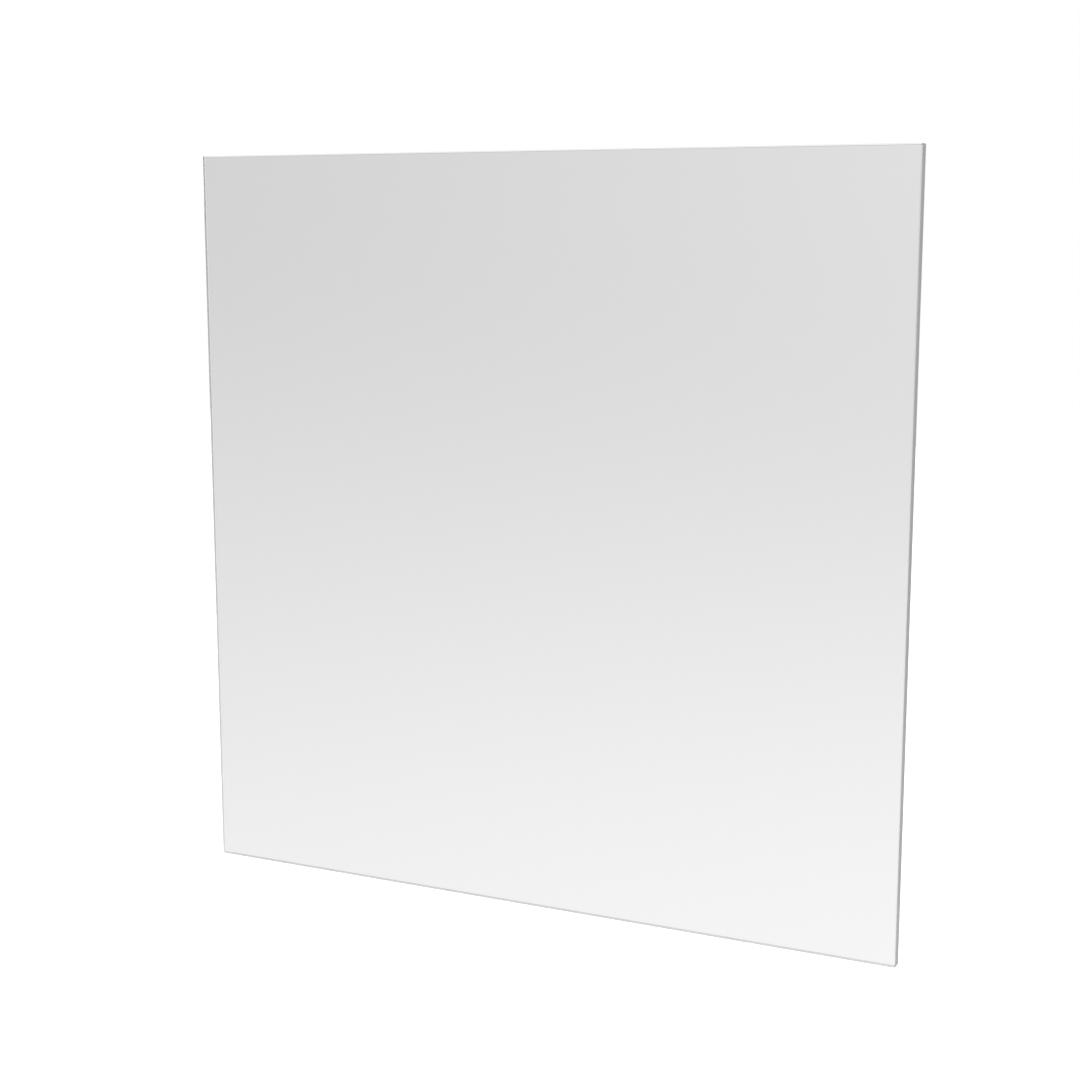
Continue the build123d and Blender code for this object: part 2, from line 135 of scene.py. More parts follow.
def threaded(radius, heights, start, end, pitch):
    """The radius with a thread between two heights: there it is less by the thread's depth times a
    wave that climbs one pitch in a turn, cut off flat at crest and root."""
    wave = np.abs(2 * np.mod(heights / pitch - ANGLES / TAU, 1.0) - 1)
    groove = np.clip(THREAD_WAVE[0] * wave - THREAD_WAVE[1], 0.0, 1.0) * THREAD_DEPTH * pitch
    return np.where((heights > start) & (heights < end), radius - groove, radius)


def turned(rows, loop=False, sides=0, thread=None):
    """A piece turned about Z, in millimetres. A row is (height, radius), a circle, or (height, half
    width, limit), a polygon with that many sides: at angle a, measured from the middle of a flat,
    its radius is the half width over cos a, but never more than the limit. A thread is (start, end,
    pitch)."""
    heights, radii, limits = np.array([(*row, 0.0)[:3] for row in rows], float).T[:, :, None]
    radius = np.repeat(radii, COLUMNS, 1)
    if sides:
        fold = np.mod(ANGLES, TAU / sides) - math.pi / sides
        radius = np.where(limits > 0, np.minimum(radii / np.cos(fold), limits), radius)
    if thread:
        radius = threaded(radius, heights, *thread)
    return closed_surface(around(radius, heights), loop)


def hexagon_rows(half, low, high, cut_low=True):
    """Rows up a hexagon whose corners are turned off at 30 degrees: the limit grows from the turned
    share of the half width by one over the slope for each millimetre away from the end."""
    start = TURNED_SHARE * half
    depth = (half / math.cos(math.pi / 6) - start) * TURNED_SLOPE
    steps = np.linspace(0.0, depth, 6)
    foot = [(low + d, half, start + d / TURNED_SLOPE) for d in steps]
    return ((foot if cut_low else [(low, half, 2 * half)])
            + [(high - d, half, start + d / TURNED_SLOPE) for d in steps[::-1]])


def arc_rows(height, radius, size, start, end, steps=4):
    """Rows round part of a circle about (height, radius), from the start angle to the end angle in
    degrees; 0 looks outwards and 90 looks up."""
    angles = np.radians(np.linspace(start, end, steps))
    return [(height + size * math.sin(a), radius + size * math.cos(a)) for a in angles]


def thread_rows(radius, low, high, pitch):
    """Rows along a thread, eight to a pitch."""
    count = max(2, int(round(8 * (high - low) / pitch)))
    return [(h, radius) for h in np.linspace(low, high, count)]


def ring(inner, outer, low, high, edge):
    """A flat ring with all four edges rounded."""
    corners = ((low + edge, outer - edge, -90), (high - edge, outer - edge, 0),
               (high - edge, inner + edge, 90), (low + edge, inner + edge, 180))
    return turned([row for height, radius, start in corners
                   for row in arc_rows(height, radius, edge, start, start + 90)], loop=True)


def nut(half, bore, height, flange=0.0, flange_height=0.0):
    """A hexagon nut on the XY plane: turned corners at its ends, a countersink at each end of its
    bore, and a round flange at its foot if it has one."""
    sink = 0.12 * bore
    edge, shoulder = 0.2, 1.12 * half           # the flange's chamfer, and its inner radius
    rows = [(sink, bore), (0.0, bore + sink)]
    if flange:
        rows += [(0.0, flange - edge), (edge, flange), (flange_height / 2, flange),
                 (flange_height, shoulder)]
    rows += hexagon_rows(half, flange_height, height, cut_low=not flange)
    rows += [(height, bore + sink), (height - sink, bore)]
    return turned(rows, loop=True, sides=6)


def lock_nut(half, bore, sizes):
    """A hexagon nut with a round collar above it, whose rim is rolled in over a plastic ring."""
    height, hexagon = sizes.lock_nut_height, sizes.lock_nut_hexagon
    collar, roll, rolled_to = half - sizes.collar_inset, sizes.collar_round, 62
    sink = 0.1 * bore
    neck, neck_height = 0.1, 0.15               # the collar's fillet above the hexagon
    rim, lip, pocket = bore + 0.9, 0.45, 2.6    # the rim's radius, and two depths from the top
    rows = [(sink, bore), (0.0, bore + sink)] + hexagon_rows(half, 0.0, hexagon)
    rows += [(hexagon, collar + neck), (hexagon + neck_height, collar)]
    rows += arc_rows(height - roll, collar - roll, roll, 0, rolled_to, 6)
    rows += [(height - lip, rim), (height - pocket, rim), (height - pocket, bore)]
    return turned(rows, loop=True, sides=6)


def hexagon_bolt(half, radius, length, head, pitch, thread_length):
    """A bolt with its head above the XY plane and its shank below: a shallow dish in the head, a
    washer face under it, a plain shank, and a thread that runs out in the pointed tip."""
    dish, face, fillet, tip = 0.25, 0.5, 0.35, 1.0
    shank, end, top = radius - SHY, -length, -length + thread_length
    rows = [(head - dish, 0.3 * half), (head, 0.36 * half)]
    rows += hexagon_rows(half, face, head, cut_low=False)[::-1]
    rows += [(face, 0.93 * half), (0.0, 0.92 * half), (0.0, radius + fillet), (-fillet, shank)]
    rows += [(top + 0.01, shank)] + thread_rows(shank, end + tip, top, pitch)[::-1]
    rows += [(end + 0.6 * tip, radius - 0.55), (end, radius - 1.25)]
    return turned(rows, sides=6, thread=(end + 0.7 * tip, top, pitch))


def cup_head_bolt(sizes, seat, tip):
    """A bolt along +Z whose seat and tip are heights: a low dome, a square neck, and a thread to
    the tip. The dome is a ball's cap: at height h above its rim its radius is root of (R squared -
    (R - rise + h) squared)."""
    radius, half, rise = sizes.clamp_bolt / 2, sizes.cup_head / 2, sizes.cup_rise
    pitch, neck = sizes.clamp_pitch, seat + sizes.neck
    rim, rim_height, run_out, corner = 0.25, 0.12, 0.4, 3 * radius
    ball = (half ** 2 + rise ** 2) / (2 * rise)
    up = rise * np.sin(np.radians(np.linspace(88, 4, 14)))
    rows = [(seat - u, math.sqrt(max(ball ** 2 - (ball - rise + u) ** 2, 1e-6))) for u in up]
    rows += [(seat - rim_height, half - SHY), (seat, half - rim)]
    rows += [(seat, radius, corner), (neck - run_out, radius, corner),
             (neck, radius, 1.08 * radius)]
    low = neck + 0.3
    rows += thread_rows(radius - SHY, low, tip - 1.0, pitch)
    rows += [(tip - 0.5, radius - 0.5), (tip, radius - 1.1)]
    return turned(rows, sides=4, thread=(low - 0.1, tip - 0.6, pitch))


def hammer_head_bolt(sizes, seat, tip):
    """A bolt along +Z whose oblong head lies below its seat, for a rail's slot. The head's outline
    at angle a is the smaller of half its width over cos a and half its length over sin a, eased at
    the corners by a high power."""
    radius, pitch, power = sizes.channel_bolt / 2, sizes.channel_pitch, 14.0
    outline = ((np.abs(np.cos(ANGLES)) / radius) ** power
               + (np.abs(np.sin(ANGLES)) / (sizes.hammer_length / 2)) ** power) ** (-1 / power)
    shares = np.array([0.55, 0.97, 1.0, 1.0, 0.97])[:, None]
    levels = np.array([0.0, 0.0, 0.12, 0.9, 1.0])[:, None] * sizes.hammer_height
    head = around(outline * shares, levels + seat - sizes.hammer_height)
    shank = radius - SHY
    rows = [(seat, shank)] + thread_rows(shank, seat + 0.4, tip - 1.0, pitch)
    rows += [(tip - 0.5, radius - 0.45), (tip, radius - 1.1)]
    heights, radii = np.array(rows).T[:, :, None]
    bolt = around(threaded(radii, heights, seat + 0.3, tip - 0.6, pitch), heights)
    return closed_surface(np.concatenate([head, bolt]))


def weld_bead(radius, half_angle, level, side, leg):
    """A fillet weld along an arc of that radius about Z, centred on -Y, in millimetres. Its section
    is a quarter of a circle in the corner between the upright wall and the plate at that level,
    above or below it as side says, and is sunk a little into both. It has a ripple for each drop:
    the size is leg times (1 + 0.07 cos of the length over the pitch, bent forward in mid section),
    and at both ends it falls off like the end of an ellipse."""
    steps, across, pitch, ripple, forward = 220, 18, 1.6, 0.07, 0.35
    full, least, sunk = 0.98 * leg, 0.12, -0.25 * leg
    along = np.linspace(-half_angle, half_angle, steps)[:, None]
    turn = np.linspace(-0.25, 1.25, across)[None, :] * QUARTER
    reach = np.clip(radius * (half_angle - np.abs(along)) / (1.2 * leg), 0, 1)
    fall = least + (1 - least) * np.sqrt(1 - (1 - reach) ** 2)
    bend = forward * np.sin(np.clip(turn, 0, QUARTER) * 2)
    size = full * fall * (1 + ripple * np.cos(TAU * (radius * along / pitch + bend)))
    buried = (turn < 0) | (turn > QUARTER)
    out, up = (np.where(buried, np.maximum(size * wave, sunk), size * wave)
               for wave in (np.cos(turn), np.sin(turn)))
    return closed_surface(around(radius + out, level + side * up, along - QUARTER))


def ribbed_liner(inner, outer, start, low, high, ribs, groove):
    """A rubber strip bent round the pole over an arc that starts that many radians past +X and ends
    as far short of -X. Its inner side has grooves along the arc: the depth at height h is groove
    times the square of the sine of the ribs' count times pi times h. The crests touch the pole."""
    rows, inner_points, outer_points, edge = 97, 64, 8, 0.3 * groove
    inside = np.linspace(0, 1, inner_points)
    dip = groove * np.sin(np.pi * ribs * inside) ** 2
    dip[[0, -1]] = edge
    radii = np.concatenate([inner + dip, np.full(outer_points, outer)])
    levels = np.concatenate([low + (high - low) * inside, np.linspace(high, low, outer_points)])
    angle = np.linspace(start, math.pi - start, rows)[:, None]
    return closed_surface(around(radii, levels, angle))


def rectangles(low, high, levels, loop=False):
    """A closed shape from rectangles parallel to the mirror, in metres. Each level is (y, inset):
    the rectangle of the two corners at that y, drawn in by the inset on all four sides."""
    x, z, inwards_x, inwards_z = np.array((
        (low[0], low[2], 1, 1), (high[0], low[2], -1, 1),
        (high[0], high[2], -1, -1), (low[0], high[2], 1, -1)), float).T
    return closed_surface(np.array([
        np.stack([x + inwards_x * inset, np.full(4, y), z + inwards_z * inset], -1)
        for y, inset in levels]), loop)


# -------------------- pieces

def make_piece(name, shape, material, slot, body, replaced=(), sharp=28.0):
    """Puts a shape into a mesh, and finishes it as a piece."""
    points, quads, fans = shape
    mesh = bpy.data.meshes.new(name)
    mesh.vertices.add(len(points))
    mesh.vertices.foreach_set("co", np.ascontiguousarray(points, np.float32).ravel())
    loops = np.concatenate([quads.ravel(), fans.ravel()]).astype(np.int32)
    sizes = np.concatenate([np.full(len(quads), 4), np.full(len(fans), 3)]).astype(np.int32)
    mesh.loops.add(len(loops))
    mesh.loops.foreach_set("vertex_index", loops)
    mesh.polygons.add(len(sizes))
    mesh.polygons.foreach_set("loop_start", (np.cumsum(sizes) - sizes).astype(np.int32))
    mesh.update(calc_edges=True)
    if mesh.validate():
        raise RuntimeError(f"{name}: its faces were not sound")
    return finish_piece(mesh, material, body, replaced, sharp)


def coat(mesh, material):
    """Gives a mesh one material, in place of any that it has."""
    mesh.materials.clear()
    mesh.materials.append(bpy.data.materials[material])


def finish_piece(mesh, material, body, replaced, sharp):
    """Shades a mesh smooth up to the sharp angle in degrees, and says which body it moves with and
    which CAD nodes it stands for. Those nodes get its material too."""
    piece = bpy.data.objects.new(mesh.name, mesh)
    bpy.context.collection.objects.link(piece)
    mesh.shade_smooth()
    mesh.set_sharp_from_angle(angle=math.radians(sharp))
    for data in (mesh, *(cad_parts[node].data for node in replaced)):
        coat(data, material)
    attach(piece, body)
    if replaced:
        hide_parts(*replaced)
    return piece


def softened_copy(node, material, slot, body, edge_mm):
    """A copy of a CAD node as one closed mesh: triangles within 0.6 degrees of flat become one
    face, and edges sharper than 38 degrees are rounded."""
    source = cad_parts[node].data
    points = np.empty(len(source.vertices) * 3, np.float32)
    source.vertices.foreach_get("co", points)
    source.calc_loop_triangles()
    faces = np.empty(len(source.loop_triangles) * 3, np.int32)
    source.loop_triangles.foreach_get("vertices", faces)
    places, same = np.unique(np.round(points.reshape(-1, 3), 6), axis=0, return_inverse=True)
    faces = same.ravel()[faces].reshape(-1, 3)
    whole = (faces != np.roll(faces, 1, 1)).all(1)
    mesh = bpy.data.meshes.new(node + "_finished")
    mesh.from_pydata(places.tolist(), [], faces[whole].tolist())
    work = bmesh.new()
    work.from_mesh(mesh)
    bmesh.ops.dissolve_limit(
        work, angle_limit=math.radians(0.6), verts=work.verts, edges=work.edges)
    work.to_mesh(mesh)
    work.free()
    piece = finish_piece(mesh, material, body, (node,), 28.0)
    bevel = piece.modifiers.new("rounded edges", "BEVEL")
    bevel.width = edge_mm * MM
    bevel.segments = 2
    bevel.limit_method = "ANGLE"
    bevel.angle_limit = math.radians(38)
    bevel.harden_normals = True


# -------------------- colours and nodes

def linear(code):
    """An sRGB hex colour as linear RGBA."""
    values = [int(code[i:i + 2], 16) / 255 for i in (1, 3, 5)]
    return [v / 12.92 if v <= 0.04045 else ((v + 0.055) / 1.055) ** 2.4 for v in values] + [1.0]


def add(tree, kind, inputs=None, **settings):
    """Adds a node with its settings; an input that is a socket is linked and any other is set."""
    node = tree.nodes.new(kind)
    for name, value in settings.items():
        setattr(node, name, value)
    for name, value in (inputs or {}).items():
        if isinstance(value, bpy.types.NodeSocket):
            tree.links.new(value, node.inputs[name])
        else:
            node.inputs[name].default_value = value
    return node


def new_material(name, **surface):
    """A node material with one Principled shader, whose sockets are set from the keywords."""
    material = bpy.data.materials.new(name)
    material.use_nodes = True
    tree = material.node_tree
    tree.nodes.clear()
    shader = add(tree, "ShaderNodeBsdfPrincipled",
                 {key.replace("_", " "): value for key, value in surface.items()})
    add(tree, "ShaderNodeOutputMaterial", {"Surface": shader.outputs[0]})
    return tree, shader


def coordinates(tree, stretch=(1.0, 1.0, 1.0)):
    """Object coordinates in metres, each axis multiplied by its stretch."""
    place = add(tree, "ShaderNodeTexCoord").outputs["Object"]
    return add(tree, "ShaderNodeMapping", {"Vector": place, "Scale": stretch}).outputs[0]


def noise(tree, size_mm, detail, stretch=(1.0, 1.0, 1.0), roughness=0.5):
    """Noise whose features are size_mm apart: a scale of one over that size in metres. An axis with
    a small stretch draws them out into lines."""
    return add(tree, "ShaderNodeTexNoise", {
        "Vector": coordinates(tree, stretch), "Scale": 1 / (size_mm * MM), "Detail": detail,
        "Roughness": roughness}).outputs[0]


def spread(tree, value, low, high, from_low=0.3, from_high=0.7):
    """A value remapped so that from_low gives low and from_high gives high."""
    return add(tree, "ShaderNodeMapRange", {
        "Value": value, "From Min": from_low, "From Max": from_high,
        "To Min": low, "To Max": high}).outputs["Result"]


def tint(tree, value, first, second, from_low=0.3, from_high=0.7):
    """A colour that goes from one hex colour to another as the value goes from low to high."""
    mix = add(tree, "ShaderNodeMix", {"Factor": spread(tree, value, 0.0, 1.0, from_low, from_high)},
              data_type="RGBA")
    mix.inputs[6].default_value = linear(first)
    mix.inputs[7].default_value = linear(second)
    return mix.outputs[2]


def relief(tree, shader, *layers):
    """Bump in real millimetres: each layer is a height and its depth, and lies on the last."""
    under = None
    for height, depth_mm in layers:
        inputs = {"Height": height, "Distance": depth_mm * MM}
        if under is not None:
            inputs["Normal"] = under
        under = add(tree, "ShaderNodeBump", inputs).outputs[0]
    tree.links.new(under, shader.inputs["Normal"])


def drive(tree, shader, **sockets):
    """Links each value to the shader's socket of that name."""
    for name, value in sockets.items():
        tree.links.new(value, shader.inputs[name.replace("_", " ")])


# -------------------- materials
# Each takes the look settings, though some finishes need none of them.

def cast_acrylic(look):
    """Clear cast acrylic, its faces as glossy as glass. Its front arris is scraped, not polished,
    so within an arris's width of the sides it is rougher."""
    tree, shader = new_material(
        "cast_acrylic_sheet", Base_Color=linear(look.acrylic), Transmission_Weight=1.0, IOR=1.491)
    axes = add(tree, "ShaderNodeSeparateXYZ", {"Vector": coordinates(tree)})
    across, up = (add(tree, "ShaderNodeMath", {0: axes.outputs[axis]}, operation="ABSOLUTE")
                  for axis in "XZ")
    rim = add(tree, "ShaderNodeMath", {0: across.outputs[0], 1: up.outputs[0]}, operation="MAXIMUM")
    arris = PANE_HIGH.x - ARRIS
    drive(tree, shader, Roughness=spread(
        tree, rim.outputs[0], 0.0, look.edge_roughness, arris - 0.3 * MM, arris - 0.1 * MM))


def sanding_lines(tree):
    """The sander's fine lines along the sheet's cut edges, a quarter of a millimetre apart."""
    return noise(tree, 0.25, 2.0, (0.05, 1.0, 0.05))


def sanded_edge(look):
    """The cut edge of the sheet, machined and wet-sanded: milky grey, with fine lines along it."""
    tree, shader = new_material("sanded_acrylic_edge", Roughness=0.5, IOR=1.491)
    lines = sanding_lines(tree)
    drive(tree, shader, Base_Color=tint(tree, lines, look.sanded, look.sanded_light))
    relief(tree, shader, (lines, 0.01))


def edge_glow(look):
    """The same sanded edge from inside the sheet, painted nearly white where its outer side is
    grey: painted light, a lit copy of that edge. Its faint emission is painted light as well: it
    stands for the light that a clear sheet guides to its edges over more bounces than a render
    follows. It grows towards the bottom, standing for more of that light coming from the pale floor
    below."""
    tree, shader = new_material("glow_inside_sanded_edge", Roughness=0.6, IOR=1.491,
                                Emission_Color=linear("#ffffff"))
    height = add(tree, "ShaderNodeSeparateXYZ", {"Vector": coordinates(tree)}).outputs["Z"]
    drive(tree, shader, Base_Color=tint(tree, sanding_lines(tree), "#f1f2f1", "#fbfbfb"),
          Emission_Strength=spread(
              tree, height, look.glow_low, look.glow_high, PANE_LOW.z, PANE_HIGH.z))


def aluminised_film(look):
    """Aluminium evaporated in a vacuum on the sheet's back: a true mirror, with the sheet's own
    long low waves."""
    tree, shader = new_material(
        "vacuum_aluminised_film", Base_Color=linear(look.film), Metallic=1.0, Roughness=0.0)
    relief(tree, shader, (noise(tree, 180.0, 1.0), 0.02))


def foam_tape(look):
    """Die-cut acrylic foam: matte dark grey, its cut edge open with cells a third of a millimetre
    wide."""
    tree, shader = new_material(
        "closed_cell_foam_tape", Base_Color=linear("#2c2d2e"), Roughness=0.85)
    cells = add(tree, "ShaderNodeTexVoronoi", {
        "Vector": coordinates(tree), "Scale": 1 / (0.35 * MM)})
    relief(tree, shader, (cells.outputs["Distance"], 0.08))


def coil_coated_sheet(look):
    """Coil-coated aluminium: a satin wash coat over the metal, with faint roller streaks along the
    coil and a fine orange peel."""
    tree, shader = new_material("coil_coated_aluminium_skin", Metallic=0.35)
    streaks = noise(tree, 5.0, 4.0, (0.02, 1.0, 1.0))
    drive(tree, shader, Base_Color=tint(tree, noise(tree, 160.0, 3.0), "#b3b5b6", "#bfc1c2"),
          Roughness=spread(tree, streaks, 0.38, 0.48))
    relief(tree, shader, (streaks, 0.006), (noise(tree, 1.8, 1.0), 0.012))


def polyethylene_core(look):
    """The sawn edge of a polyethylene core: waxy mid grey with the saw's fine marks across it."""
    tree, shader = new_material("sawn_polyethylene_core", Roughness=0.6)
    marks = noise(tree, 0.8, 3.0, (1.0, 0.06, 1.0))
    drive(tree, shader, Base_Color=tint(tree, marks, look.core, look.core_light))
    relief(tree, shader, (marks, 0.04))


def anodised_extrusion(look):
    """Extruded aluminium, clear anodised: silver satin, with the die's lines along its length."""
    tree, shader = new_material(EXTRUSION[0], Metallic=1.0)
    lines = noise(tree, 0.9, 3.0, (0.004, 1.0, 1.0))
    clouds = noise(tree, 50.0, 2.0, (0.3, 1.0, 1.0))
    drive(tree, shader, Base_Color=tint(tree, clouds, "#c0c2c3", "#d3d4d5"),
          Roughness=spread(tree, lines, 0.26, 0.42))
    relief(tree, shader, (lines, 0.012))


def moulded_polyethylene(look):
    """Black polyethylene moulded against a spark-eroded tool: an even fine grain, a low sheen."""
    tree, shader = new_material("moulded_black_polyethylene", Base_Color=linear("#1c1c1d"))
    grain = noise(tree, 0.45, 2.0)
    drive(tree, shader, Roughness=spread(tree, grain, 0.42, 0.62))
    relief(tree, shader, (grain, 0.03))


def stainless_steel(look):
    """Cold-formed stainless steel, tumbled clean: a warm grey with fine marks from the tumbling."""
    tree, shader = new_material(STAINLESS[0], Base_Color=linear("#bcb8b1"), Metallic=1.0)
    marks = noise(tree, 1.0, 4.0)
    drive(tree, shader, Roughness=spread(tree, marks, 0.2, 0.38))
    relief(tree, shader, (marks, 0.008))


def zinc_plated_steel(look):
    """Bright zinc plate, blue passivated: cool silver, a faint straw stain and dull patches."""
    tree, shader = new_material(ZINC[0], Metallic=1.0)
    drive(tree, shader, Base_Color=tint(tree, noise(tree, 9.0, 2.0), "#bdc2c8", "#cdccc5"),
          Roughness=spread(tree, noise(tree, 3.0, 2.0), 0.2, 0.3))
    relief(tree, shader, (noise(tree, 0.8, 2.0), 0.002))


def galvanised(look, name, sand_mm=0.0):
    """Steel dipped in molten zinc: interlocked crystals, each with its own grey and its own gloss,
    over the long low waves of zinc that ran off. Noise bends the crystals' straight borders. A
    casting also shows the grain of its sand mould."""
    tree, shader = new_material(name, Metallic=0.85)
    place, crystal = coordinates(tree), look.spangle * MM
    wander = add(tree, "ShaderNodeTexNoise", {
        "Vector": place, "Scale": 1 / (4 * MM), "Detail": 2.0})
    bend = add(tree, "ShaderNodeVectorMath", {
        0: wander.outputs["Color"], "Scale": 0.4 * crystal}, operation="SCALE")
    bent = add(tree, "ShaderNodeVectorMath", {0: place, 1: bend.outputs[0]}, operation="ADD")
    crystals = add(tree, "ShaderNodeTexVoronoi", {
        "Vector": bent.outputs[0], "Scale": 1 / crystal})
    grey = add(tree, "ShaderNodeSeparateColor", {"Color": crystals.outputs["Color"]})
    bloom = noise(tree, 35.0, 4.0, roughness=0.6)
    level = add(tree, "ShaderNodeMath", {0: grey.outputs[0], 1: 0.45, 2: bloom},
                operation="MULTIPLY_ADD")
    drive(tree, shader,
          Base_Color=tint(tree, level.outputs[0], "#8b8f91", "#b6babc", 0.35, 1.05),
          Roughness=spread(tree, grey.outputs[1], 0.34, 0.52, 0.0, 1.0))
    layers = [(noise(tree, 12.0, 2.0), 0.12), (noise(tree, 1.4, 3.0), 0.02)]
    if sand_mm:
        layers.append((noise(tree, sand_mm, 4.0, roughness=0.65), 0.22))
    relief(tree, shader, *layers)


def acetal(look):
    """Turned acetal: milky and waxy, with fine marks from the lathe."""
    tree, shader = new_material(
        ACETAL[0], Base_Color=linear("#e6e4dc"), Roughness=0.4,
        Subsurface_Weight=0.15, Subsurface_Radius=(0.004, 0.0035, 0.003))
    relief(tree, shader, (noise(tree, 0.4, 1.0), 0.012))


def epdm(look):
    """Extruded EPDM rubber: matte black under a grey bloom, drawn out in fine lines."""
    tree, shader = new_material("extruded_epdm_rubber", Roughness=0.78)
    drive(tree, shader, Base_Color=tint(tree, noise(tree, 8.0, 4.0), "#161617", "#2b2b2c"))
    relief(tree, shader, (noise(tree, 0.5, 2.0, (0.05, 0.05, 1.0)), 0.04))


# -------------------- settings

def colour(name, description, default):
    return StringProperty(name=name, description=description + ", as sRGB hex", default=default)


def measure(name, description, default):
    return FloatProperty(name=name, description=description + ", in mm", default=default, min=0.1)


class MirrorLook(bpy.types.PropertyGroup):
    """Colours and finishes of the mirror and its bracket"""
    acrylic: colour("Acrylic", "Tint of the clear sheet", "#ffffff")
    sanded: colour("Sanded edge", "Darker colour of the sheet's cut edge", "#8c8d8c")
    sanded_light: colour("Sanded edge, light", "Lighter colour of the sheet's cut edge", "#9a9b9a")
    glow_low: FloatProperty(
        name="Glow, low", description="Emission inside the cut edge at the bottom", default=0.34,
        min=0.0)
    glow_high: FloatProperty(
        name="Glow, high", description="Emission inside the cut edge at the top", default=0.08,
        min=0.0)
    film: colour("Mirror film", "Colour of the reflecting metal", "#f5f5f5")
    core: colour("Core", "Darker colour of the core's edge", "#787979")
    core_light: colour("Core, light", "Lighter colour of the core's edge", "#8c8d8e")
    edge_roughness: FloatProperty(
        name="Arris roughness", description="Roughness of the sheet's scraped front arris",
        default=0.15, min=0.0, max=1.0, subtype="FACTOR")
    spangle: measure("Spangle", "Width of a zinc crystal", 6.0)


class FastenerSizes(bpy.types.PropertyGroup):
    """Sizes of the fasteners"""
    pivot_across: measure("Pivot hexagon", "Pivot bolts and nuts across flats", 18.0)
    pivot_bolt: measure("Pivot bolt", "Diameter of the pivot bolts", 12.0)
    pivot_pitch: measure("Pivot pitch", "Pitch of their thread", 1.75)
    pivot_thread: measure("Pivot thread", "Length of their thread", 26.0)
    pivot_head: measure("Pivot head", "Height of their heads", 7.5)
    pivot_stickout: measure("Pivot stick-out", "Length of thread past the lock nut", 3.0)
    lock_nut_height: measure("Lock nut", "Height with its collar", 12.0)
    lock_nut_hexagon: measure("Lock nut hexagon", "Height of its hexagon", 8.5)
    collar_inset: measure("Collar inset", "Step from the hexagon's flats to the collar", 1.2)
    collar_round: measure("Collar round", "Radius of its rolled rim", 1.8)
    channel_bolt: measure("Channel bolt", "Diameter of the tilt bracket's bolts", 8.0)
    channel_pitch: measure("Channel pitch", "Pitch of their thread", 1.25)
    channel_nut_across: measure("Channel nut", "Their nuts across flats", 13.0)
    channel_nut_height: measure("Channel nut height", "Height of their nuts", 6.5)
    hammer_height: measure("Hammer head", "Thickness of their heads", 4.0)
    hammer_length: measure("Hammer length", "Length of their heads", 20.0)
    clamp_bolt: measure("Clamp bolt", "Diameter of the clamp bolts", 10.0)
    clamp_pitch: measure("Clamp pitch", "Pitch of their thread", 1.5)
    cup_head: measure("Cup head", "Diameter of their heads", 20.0)
    cup_rise: measure("Cup rise", "Height of their heads", 5.0)
    neck: measure("Neck", "Length of their square necks", 4.5)
    clamp_nut_across: measure("Clamp nut", "Their nuts across flats", 16.0)
    clamp_nut_height: measure("Clamp nut height", "Height of their nuts", 8.4)


class StudioSettings(bpy.types.PropertyGroup):
    """The camera, the floor and the light round the mirror"""
    camera_offset: FloatVectorProperty(
        name="Camera offset", description="From the middle of the mirror's face to the camera",
        default=(0.62106, -1.2924, 0.24522), subtype="TRANSLATION", unit="LENGTH")
    yaw: FloatProperty(
        name="Yaw", description="How far the camera is turned left",
        default=math.radians(25.36), subtype="ANGLE", unit="ROTATION")
    pitch: FloatProperty(
        name="Pitch", description="How far the camera looks down",
        default=math.radians(9.67), subtype="ANGLE", unit="ROTATION")
    lens: FloatProperty(
        name="Lens", description="Focal length on a 36 mm sensor", default=61.87, unit="CAMERA")
    floor_drop: FloatProperty(
        name="Floor drop", description="From the mirror's lower edge down to the floor",
        default=0.35, unit="LENGTH")
    brightness: FloatProperty(
        name="Surround", description="Strength of the light that surrounds the mirror",
        default=1.09)


# -------------------- operators

class TM_OT_materials(bpy.types.Operator):
    """Make every finish, and give the CAD parts that stay theirs"""
    bl_idname = "traffic_mirror.materials"
    bl_label = "Finishes"

    def execute(self, context):
        look = context.scene.mirror_look
        for make in (cast_acrylic, sanded_edge, edge_glow, aluminised_film, foam_tape,
                     coil_coated_sheet, polyethylene_core, anodised_extrusion,
                     moulded_polyethylene, stainless_steel, zinc_plated_steel, acetal, epdm):
            make(look)
        galvanised(look, PLATE)
        galvanised(look, CASTING, sand_mm=0.9)
        for node, material in (
                ("perimeter_seal_tape", "closed_cell_foam_tape"),
                ("bond_tape_strips", "closed_cell_foam_tape"),
                ("panel_front_skin", "coil_coated_aluminium_skin"),
                ("panel_rear_skin", "coil_coated_aluminium_skin"),
                ("panel_core", "sawn_polyethylene_core"),
                ("rail_screws", STAINLESS[0])):
            coat(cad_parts[node].data, material)
        return {"FINISHED"}


